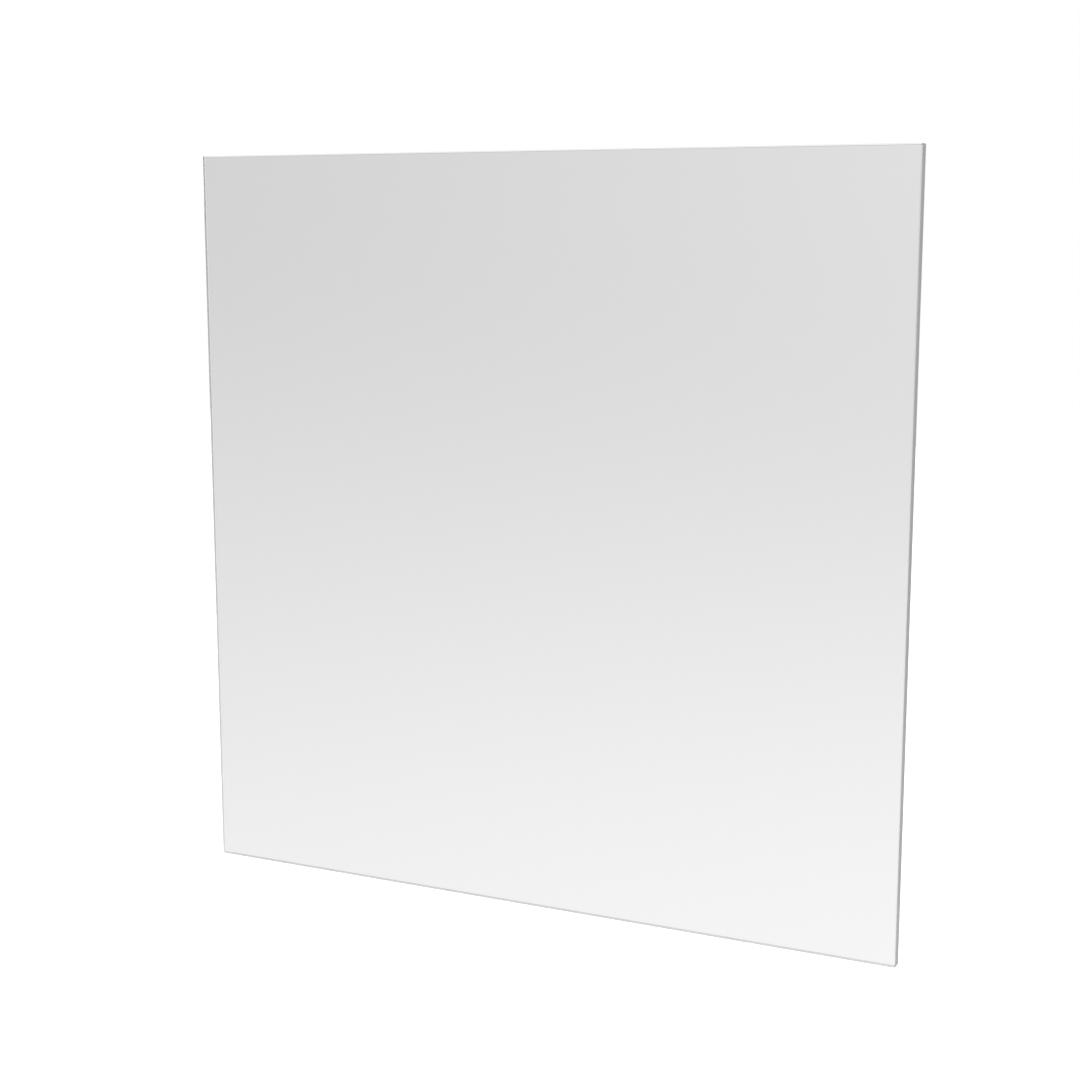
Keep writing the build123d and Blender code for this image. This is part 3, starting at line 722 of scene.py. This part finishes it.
class TM_OT_pane(bpy.types.Operator):
    """Make the clear sheet, the sanded skin on its cut edges, and the film in its back"""
    bl_idname = "traffic_mirror.pane"
    bl_label = "Mirror pane"

    def execute(self, context):
        low, high, flat = PANE_LOW, PANE_HIGH, 5.0
        skin, deep, sunk = 0.02 * MM, 0.1 * MM, 0.05 * MM
        front = low.y + ARRIS
        make_piece("mirror_pane_clear", rectangles(
            low, high, ((low.y, ARRIS + skin), (front, skin), (high.y, skin))),
            "cast_acrylic_sheet", "acrylic_pane", "mirror_head", ("mirror_pane",), sharp=flat)
        rim = make_piece("pane_sanded_edge", rectangles(
            low, high, ((front + skin, 0.0), (high.y, 0.0), (high.y, deep), (front + skin, deep)),
            loop=True), "sanded_acrylic_edge", "acrylic_pane", "mirror_head", sharp=flat)
        # The faces that look into the sheet take the painted glow: a near-white colour and an
        # emission that stand for light, though the edge is no lamp.
        rim.data.materials.append(bpy.data.materials["glow_inside_sanded_edge"])
        # Each level of the ring gives four faces; the third level's look into the sheet.
        rim.data.polygons.foreach_set(
            "material_index", np.repeat([0, 0, 1, 0], 4).astype(np.int32))
        # The film stands a little way into the sheet, so that the two share no surface.
        film_low, film_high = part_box("reflective_coating")
        make_piece("mirror_film", rectangles(
            film_low, film_high, ((film_low.y - sunk, sunk), (film_high.y, sunk))),
            "vacuum_aluminised_film", "mirror_film", "mirror_head", ("reflective_coating",),
            sharp=flat)
        return {"FINISHED"}


class TM_OT_plates(bpy.types.Operator):
    """Round the sharp edges of the rails, the plates, the clamp and the casting"""
    bl_idname = "traffic_mirror.plates"
    bl_label = "Plates and rails"

    def execute(self, context):
        thick, thin, moulded = 0.5, 0.25, 0.3
        softened_copy("tilt_bracket", PLATE, STEEL, "mirror_head", thick)
        for node in ("clamp_saddle", "upper_lug", "lower_lug"):
            softened_copy(node, PLATE, STEEL, "pole_bracket", thick)
        softened_copy("clamp_strap", PLATE, STEEL, "clamp_strap", thick)
        softened_copy("swivel_knuckle", CASTING, "cast_iron", "swivel_link", thick)
        for node in ("upper_rail", "lower_rail"):
            softened_copy(node, *EXTRUSION, "mirror_head", thin)
        softened_copy("rail_end_caps", "moulded_black_polyethylene", "black_polyethylene",
                      "mirror_head", moulded)
        return {"FINISHED"}


class TM_OT_welds(bpy.types.Operator):
    """Lay a fillet weld on both sides of each lug where it meets the saddle"""
    bl_idname = "traffic_mirror.welds"
    bl_label = "Welds"

    def execute(self, context):
        half_lug, short, outer_leg, inner_leg = 22.0, 0.03, 1.7, 3.0
        low, high = (np.array(c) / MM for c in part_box("upper_lug"))
        wall = -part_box("clamp_saddle")[0].y / MM
        root = math.asin(half_lug / wall) - short
        beads = [weld_bead(wall, root, side * level, side * outwards, leg) for side in (1, -1)
                 for level, outwards, leg in ((high[2], 1, outer_leg), (low[2], -1, inner_leg))]
        make_piece("lug_weld_beads", placed(joined(beads), (0, 0, 1), (0, 0, 0)), PLATE, STEEL,
                   "pole_bracket", sharp=60.0)
        return {"FINISHED"}


class TM_OT_liners(bpy.types.Operator):
    """Line both halves of the clamp with ribbed rubber"""
    bl_idname = "traffic_mirror.liners"
    bl_label = "Rubber liners"

    def execute(self, context):
        thickness, ribs, groove, gap, short = 1.5, 7, 0.7, 0.01, 0.002
        for node, body, side in (("strap_liner", "clamp_strap", 1),
                                 ("saddle_liner", "pole_bracket", -1)):
            low, high = (np.array(c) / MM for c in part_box(node))
            nearest, outer = sorted((abs(low[1]), abs(high[1])))
            inner = outer - thickness
            points, quads, fans = ribbed_liner(
                inner, outer - gap, math.asin(nearest / inner) + short, low[2], high[2], ribs,
                groove)
            points = points * np.array((side, side, 1.0)) * MM
            make_piece(node + "_ribbed", (points, quads, fans), "extruded_epdm_rubber",
                       "epdm_rubber", body, (node,))
        return {"FINISHED"}


class TM_OT_pivots(bpy.types.Operator):
    """Fit the pan and tilt bolts with their washers, lock nuts and plastic washers"""
    bl_idname = "traffic_mirror.pivots"
    bl_label = "Pivot bolts"

    def execute(self, context):
        sizes = context.scene.mirror_fasteners
        half, radius, top = sizes.pivot_across / 2, sizes.pivot_bolt / 2, sizes.lock_nut_height
        insert = ring(radius + SHY, radius + 0.93, top - 2.5, top - 0.6, 0.2)
        washer = ring(radius + 0.25, 12.0, 0.0, 2.5, 0.35)
        plastic = ring(radius + 0.5, 14.0, 0.0, 1.0, 0.2)
        for name, body, axis, side in (("pan", "pole_bracket", 2, 1.0),
                                       ("tilt", "mirror_head", 0, -1.0)):
            low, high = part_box(f"{name}_bolt_washers")
            middle = (low + high) / 2
            along = np.eye(3)[axis]
            out = along * side
            reach = (high[axis] - low[axis]) / 2
            head_seat, nut_seat = np.array(middle) + out * reach, np.array(middle) - out * reach
            bolt = hexagon_bolt(half, radius, 2 * reach / MM + top + sizes.pivot_stickout,
                                sizes.pivot_head, sizes.pivot_pitch, sizes.pivot_thread)
            make_piece(f"{name}_bolt_threaded", placed(bolt, out, head_seat), *ZINC, body,
                       (f"{name}_bolt",))
            make_piece(f"{name}_lock_nut_rolled", placed(
                lock_nut(half, radius + BORE_GAP, sizes), -out, nut_seat), *ZINC, body,
                (f"{name}_lock_nut",))
            make_piece(f"{name}_lock_nut_insert", placed(insert, -out, nut_seat), *ACETAL, body)
            make_piece(f"{name}_bolt_washers_round", joined([
                placed(washer, -out, head_seat), placed(washer, out, nut_seat)]), *ZINC, body,
                (f"{name}_bolt_washers",))
            ends = [np.where(along, corner, middle)
                    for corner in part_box(f"{name}_friction_washers")]
            make_piece(f"{name}_friction_washers_round", joined([
                placed(plastic, along, ends[0]), placed(plastic, -along, ends[1])]), *ACETAL,
                "swivel_link", (f"{name}_friction_washers",))
        return {"FINISHED"}


class TM_OT_channel_bolts(bpy.types.Operator):
    """Bolt the tilt bracket to both rails"""
    bl_idname = "traffic_mirror.channel_bolts"
    bl_label = "Channel bolts"

    def execute(self, context):
        sizes = context.scene.mirror_fasteners
        low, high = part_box("channel_bolt_washers")
        washer, radius = 8.0, sizes.channel_bolt / 2
        spots = [(x, z) for x in (low.x + washer * MM, high.x - washer * MM)
                 for z in (low.z + washer * MM, high.z - washer * MM)]
        foot, tip = ((c.y - low.y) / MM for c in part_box("channel_bolts"))
        for node, made, y, shape in (
                ("channel_bolts", "threaded", low.y,
                 hammer_head_bolt(sizes, foot + sizes.hammer_height, tip)),
                ("channel_bolt_washers", "round", low.y,
                 ring(radius + 0.25, washer, 0.0, (high.y - low.y) / MM, 0.25)),
                ("channel_bolt_nuts", "turned", high.y,
                 nut(sizes.channel_nut_across / 2, radius + BORE_GAP,
                     sizes.channel_nut_height))):
            make_piece(f"{node}_{made}", copies(shape, (0, 1, 0), [(x, y, z) for x, z in spots]),
                       *ZINC, "mirror_head", (node,))
        return {"FINISHED"}


class TM_OT_clamp_bolts(bpy.types.Operator):
    """Bolt the two halves of the pole clamp together"""
    bl_idname = "traffic_mirror.clamp_bolts"
    bl_label = "Clamp bolts"

    def execute(self, context):
        sizes = context.scene.mirror_fasteners
        low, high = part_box("clamp_washers")
        washer, radius = (high.z - low.z) / 2, sizes.clamp_bolt / 2
        foot, tip = (c.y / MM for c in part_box("clamp_bolts"))
        for node, made, y, body, shape in (
                ("clamp_bolts", "threaded", 0.0, "pole_bracket",
                 cup_head_bolt(sizes, foot + sizes.cup_rise, tip)),
                ("clamp_washers", "round", low.y, "clamp_strap",
                 ring(radius + 0.5, washer / MM, 0.0, (high.y - low.y) / MM, 0.3)),
                ("clamp_nuts", "turned", high.y, "clamp_strap",
                 nut(sizes.clamp_nut_across / 2, radius + BORE_GAP, sizes.clamp_nut_height))):
            spots = [(x, y, 0.0) for x in (low.x + washer, high.x - washer)]
            make_piece(f"{node}_{made}", copies(shape, (0, 1, 0), spots), *ZINC, body, (node,))
        return {"FINISHED"}


class TM_OT_rail_nuts(bpy.types.Operator):
    """Put a flanged nut on every screw inside the rails"""
    bl_idname = "traffic_mirror.rail_nuts"
    bl_label = "Rail nuts"

    def execute(self, context):
        flange, flange_height, half, screw, per_rail = 5.5, 1.2, 4.0, 2.5, 4
        low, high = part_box("rail_nuts")
        inset = flange * MM
        spots = [(x, low.y, z) for x in np.linspace(low.x + inset, high.x - inset, per_rail)
                 for z in (low.z + inset, high.z - inset)]
        shape = nut(half, screw + BORE_GAP, (high.y - low.y) / MM, flange, flange_height)
        make_piece("rail_nuts_flanged", copies(shape, (0, 1, 0), spots), *STAINLESS,
                   "mirror_head", ("rail_nuts",))
        return {"FINISHED"}


class TM_OT_studio(bpy.types.Operator):
    """Set up the camera, the pale floor and the soft light"""
    bl_idname = "traffic_mirror.studio"
    bl_label = "Studio"

    def execute(self, context):
        settings = context.scene.mirror_studio
        place_camera(context, settings)
        lay_floor(context, settings)
        light_room(context, settings)
        hang_softboxes(context)
        context.scene.view_settings.view_transform = "Standard"
        return {"FINISHED"}


def place_camera(context, settings):
    """A camera in front of the mirror and to its right, turned left and tipped down."""
    data = bpy.data.cameras.new("studio_camera")
    data.sensor_width = 36.0
    data.lens = settings.lens
    camera = bpy.data.objects.new("studio_camera", data)
    context.collection.objects.link(camera)
    face = Vector(((PANE_LOW.x + PANE_HIGH.x) / 2, PANE_LOW.y, (PANE_LOW.z + PANE_HIGH.z) / 2))
    camera.location = face + Vector(settings.camera_offset)
    camera.rotation_euler = (QUARTER - settings.pitch, 0.0, settings.yaw)
    context.scene.camera = camera


def lay_floor(context, settings):
    """A wide flat near-white floor below the mirror, which reflections leave out."""
    half = 6.0
    z = PANE_LOW.z - settings.floor_drop
    mesh = bpy.data.meshes.new("studio_floor")
    mesh.from_pydata([(-half, -half, z), (half, -half, z), (half, half, z), (-half, half, z)],
                     [], [(0, 1, 2, 3)])
    floor = bpy.data.objects.new("studio_floor", mesh)
    context.collection.objects.link(floor)
    new_material("white_studio_floor", Base_Color=linear("#e6e6e6"), Roughness=0.9,
                 Emission_Color=linear("#ffffff"), Emission_Strength=0.6)
    mesh.materials.append(bpy.data.materials["white_studio_floor"])
    floor.visible_glossy = False
    floor.visible_transmission = False


def light_room(context, settings):
    """A white surround for the camera. What lights the mirror, and what it reflects, grades
    smoothly: pale grey at eye height, nearly white towards the floor and above, and a little
    lighter to the right; it is darker behind. Each grade follows one axis of the direction."""
    world = bpy.data.worlds.new("studio_surround")
    context.scene.world = world
    world.use_nodes = True
    tree = world.node_tree
    tree.nodes.clear()
    direction = add(tree, "ShaderNodeTexCoord").outputs["Generated"]
    axes = add(tree, "ShaderNodeSeparateXYZ", {"Vector": direction})

    def grade(axis, start, end, low, high, shape="SMOOTHSTEP"):
        return add(tree, "ShaderNodeMapRange", {
            "Value": axes.outputs[axis], "From Min": start, "From Max": end,
            "To Min": low, "To Max": high}, interpolation_type=shape).outputs["Result"]

    def total(first, second, operation="ADD"):
        return add(tree, "ShaderNodeMath", {0: first, 1: second}, operation=operation).outputs[0]

    below = grade("Z", -0.42, -0.01, 0.91, 0.70)
    above = grade("Z", 0.15, 0.85, 0.0, 0.30)
    across = grade("X", -1.0, 0.4, -0.58, 0.82, "LINEAR")
    side = total(across, grade("Z", -0.15, 0.04, 0.105, 0.27), "MULTIPLY")
    behind = grade("Y", 0.0, 0.8, 1.0, 0.55)
    graded = total(total(total(below, above), side), behind, "MULTIPLY")
    surround = add(tree, "ShaderNodeBackground", {
        "Color": graded, "Strength": settings.brightness})
    backdrop = add(tree, "ShaderNodeBackground", {"Color": linear("#ffffff")})
    seen = add(tree, "ShaderNodeLightPath").outputs["Is Camera Ray"]
    chosen = add(tree, "ShaderNodeMixShader", {
        0: seen, 1: surround.outputs[0], 2: backdrop.outputs[0]})
    add(tree, "ShaderNodeOutputWorld", {"Surface": chosen.outputs[0]})


def hang_softboxes(context):
    """Three softboxes behind the mirror's face, aimed at the bracket: a key, a fill, and a small
    one low on the right for the panel's edge; each with its place, power in watts and width."""
    target = Vector((0.0, -0.05, 0.0))
    for name, place, power, size in (
            ("key_softbox", (1.6, 1.9, 1.8), 26.0, 1.1),
            ("fill_softbox", (-2.0, 1.4, 0.9), 12.0, 1.3),
            ("low_softbox", (0.8, 0.3, -0.5), 1.6, 0.4)):
        data = bpy.data.lights.new(name, "AREA")
        data.energy = power
        data.size = size
        lamp = bpy.data.objects.new(name, data)
        context.collection.objects.link(lamp)
        lamp.location = place
        lamp.visible_camera = False
        lamp.rotation_euler = (target - Vector(place)).to_track_quat("-Z", "Y").to_euler()


class TM_PT_panel(bpy.types.Panel):
    """The mirror's steps and settings in the sidebar"""
    bl_idname = "TM_PT_panel"
    bl_label = "Traffic mirror"
    bl_space_type = "VIEW_3D"
    bl_region_type = "UI"
    bl_category = "Traffic mirror"

    def draw(self, context):
        scene = context.scene
        for operator in OPERATORS:
            self.layout.operator(operator.bl_idname)
        for group in (scene.mirror_look, scene.mirror_fasteners, scene.mirror_studio):
            for name in group.bl_rna.properties.keys():
                if name not in ("rna_type", "name"):
                    self.layout.prop(group, name)


OPERATORS = (TM_OT_materials, TM_OT_pane, TM_OT_plates, TM_OT_welds, TM_OT_liners, TM_OT_pivots,
             TM_OT_channel_bolts, TM_OT_clamp_bolts, TM_OT_rail_nuts, TM_OT_studio)
CLASSES = (MirrorLook, FastenerSizes, StudioSettings) + OPERATORS + (TM_PT_panel,)


def register():
    for cls in CLASSES:
        bpy.utils.register_class(cls)
    bpy.types.Scene.mirror_look = PointerProperty(type=MirrorLook)
    bpy.types.Scene.mirror_fasteners = PointerProperty(type=FastenerSizes)
    bpy.types.Scene.mirror_studio = PointerProperty(type=StudioSettings)


def unregister():
    for name in ("mirror_look", "mirror_fasteners", "mirror_studio"):
        delattr(bpy.types.Scene, name)
    for cls in reversed(CLASSES):
        bpy.utils.unregister_class(cls)


def main():
    register()
    for operator in OPERATORS:
        getattr(bpy.ops.traffic_mirror, operator.bl_idname.split(".")[1])()


if __name__ == "__main__":
    main()
